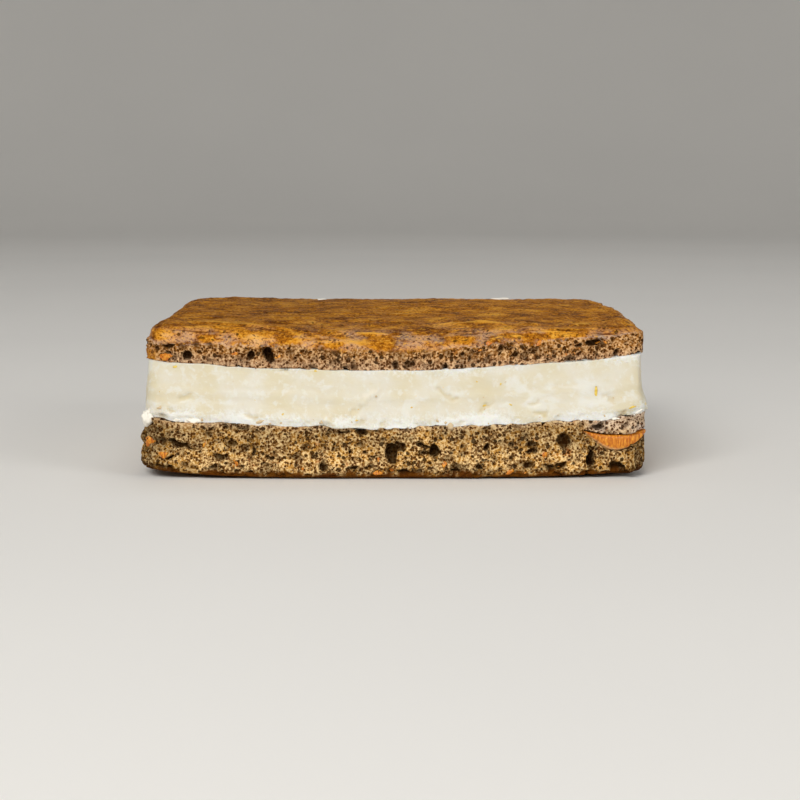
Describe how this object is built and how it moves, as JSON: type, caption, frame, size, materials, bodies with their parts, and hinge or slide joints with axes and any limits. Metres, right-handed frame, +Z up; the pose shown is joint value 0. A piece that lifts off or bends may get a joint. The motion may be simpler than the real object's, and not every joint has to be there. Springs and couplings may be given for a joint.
{
  "type": "ice cream sandwich",
  "caption": "Square ice cream sandwich: a thick slab of pale ice cream between two sheets of open-crumbed carrot cake, the upper one with a glossy brown crust.",
  "frame": {"origin": "on the ground, under the middle of the sandwich's box", "axes": "+X along the front face to the right, towards the end where the slice of carrot shows, +Y to the back, +Z up through the layers"},
  "size_m": [0.0934, 0.091, 0.0276],
  "materials": {
    "lower_cake": "open, porous carrot cake crumb, matte, with a browned underside",
    "ice_cream": "firm, smooth, pale cream-coloured ice cream with a faint sheen and flecks of yellow zest",
    "upper_cake": "porous crumb at the sides under a glossy, wrinkled golden-brown crust",
    "carrot": "moist orange carrot with fine fibres and a pale rim"
  },
  "bodies": {
    "root": {"lower_cake": "lower_cake", "ice_cream": "ice_cream", "upper_cake": "upper_cake", "carrot_slice": "carrot"}
  },
  "joints": []
}
